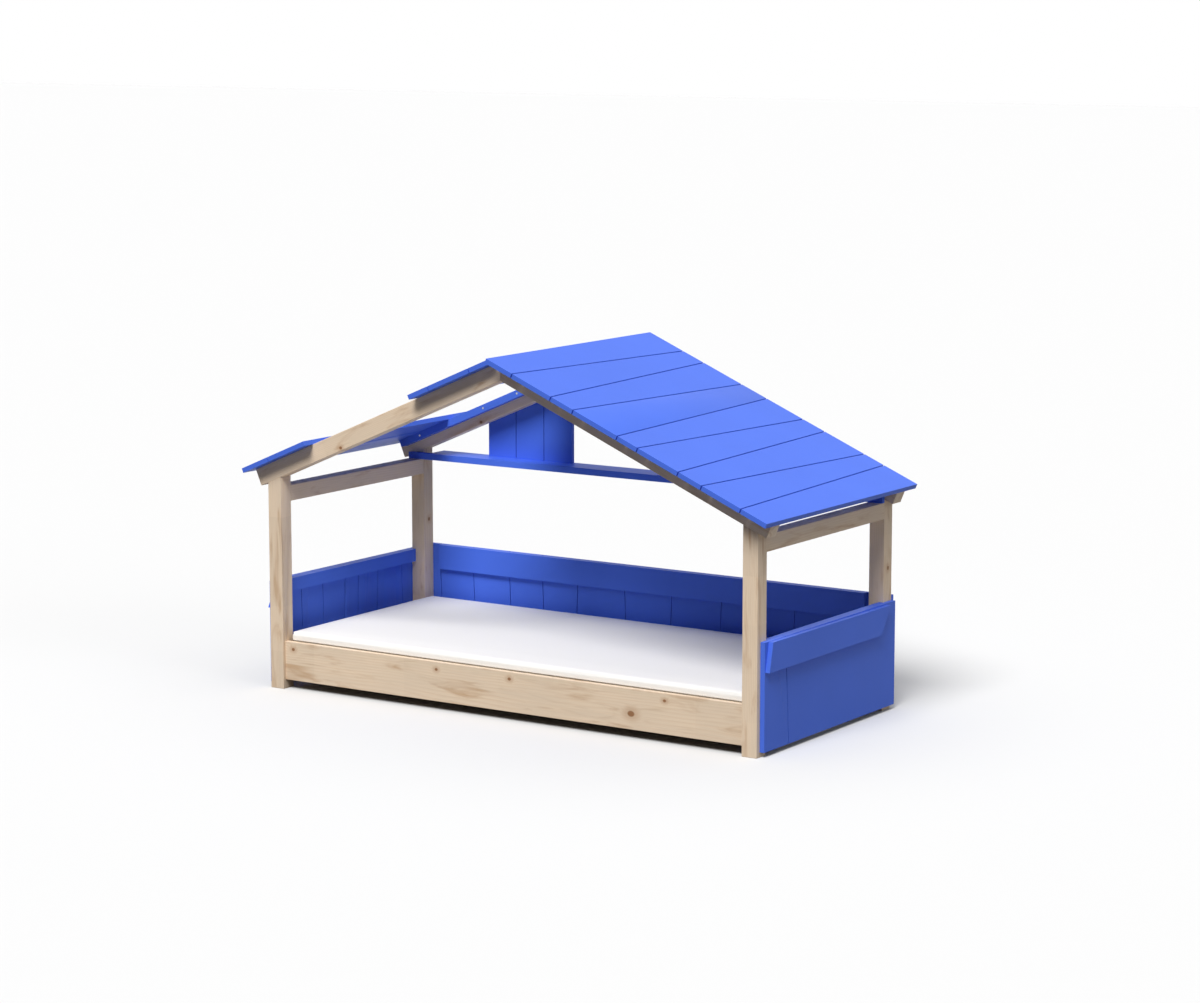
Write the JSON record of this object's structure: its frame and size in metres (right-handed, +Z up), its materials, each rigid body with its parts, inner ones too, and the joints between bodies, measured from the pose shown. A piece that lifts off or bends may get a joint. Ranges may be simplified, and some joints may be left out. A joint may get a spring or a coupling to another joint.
{
  "type": "house frame bed",
  "caption": "Low child's bed of natural pine with blue plank end and back panels under an open gable roof of crooked blue boards with a roof window, and a foam mattress.",
  "frame": {"origin": "on the floor, in the middle of the box that the whole bed takes up", "axes": "+X along the bed towards its right end, +Y from the open front to the back panel, +Z up"},
  "size_m": [2.3012, 1.078, 1.324],
  "materials": {
    "pine": "planed, clear oil",
    "blue_paint": "satin paint on planed boards",
    "mattress_cover": "white knitted cover",
    "beech_dowel": "fluted beech, plain",
    "zinc_steel": "zinc plated",
    "painted_steel": "screw heads painted over with the boards"
  },
  "bodies": {
    "frame": {"apron_screws": "painted_steel", "back_bed_rail": "pine", "back_left_post": "pine", "back_left_rafter": "pine", "back_left_roof_batten": "blue_paint", "back_panel_batten": "blue_paint", "back_panel_boards": "blue_paint", "back_right_post": "pine", "back_right_rafter": "pine", "back_right_roof_batten": "blue_paint", "back_sill": "blue_paint", "back_slat_cleat": "pine", "batten_screws": "zinc_steel", "bed_slats": "pine", "bracket_screws": "zinc_steel", "cleat_screws": "zinc_steel", "corner_brackets": "zinc_steel", "frame_dowels": "beech_dowel", "front_bed_rail": "pine", "front_left_post": "pine", "front_left_rafter": "pine", "front_left_roof_batten": "blue_paint", "front_right_post": "pine", "front_right_rafter": "pine", "front_right_roof_batten": "blue_paint", "front_slat_cleat": "pine", "gable_board_1": "blue_paint", "gable_board_2": "blue_paint", "gable_board_3": "blue_paint", "left_end_beam": "pine", "left_end_rail": "pine", "left_panel_apron": "blue_paint", "left_panel_batten": "blue_paint", "left_panel_boards": "blue_paint", "left_roof_board_1": "blue_paint", "left_roof_board_2": "blue_paint", "left_roof_board_3": "blue_paint", "left_roof_board_4": "blue_paint", "left_roof_board_5": "blue_paint", "panel_screws": "painted_steel", "rail_dowels": "beech_dowel", "right_end_beam": "pine", "right_end_rail": "pine", "right_panel_apron": "blue_paint", "right_panel_batten": "blue_paint", "right_panel_boards": "blue_paint", "right_roof_board_1": "blue_paint", "right_roof_board_2": "blue_paint", "right_roof_board_3": "blue_paint", "right_roof_board_4": "blue_paint", "right_roof_board_5": "blue_paint", "right_roof_board_6": "blue_paint", "right_roof_board_7": "blue_paint", "right_roof_board_8": "blue_paint", "right_roof_board_9": "blue_paint", "roof_screws": "zinc_steel", "sill_screws": "zinc_steel", "slat_screws": "zinc_steel"},
    "mattress": {"mattress": "mattress_cover"}
  },
  "joints": [
    {"name": "mattress_lift", "type": "slide", "parent": "frame", "child": "mattress", "axis": [0, 0, 1], "range_m": [0, 0.12]}
  ]
}
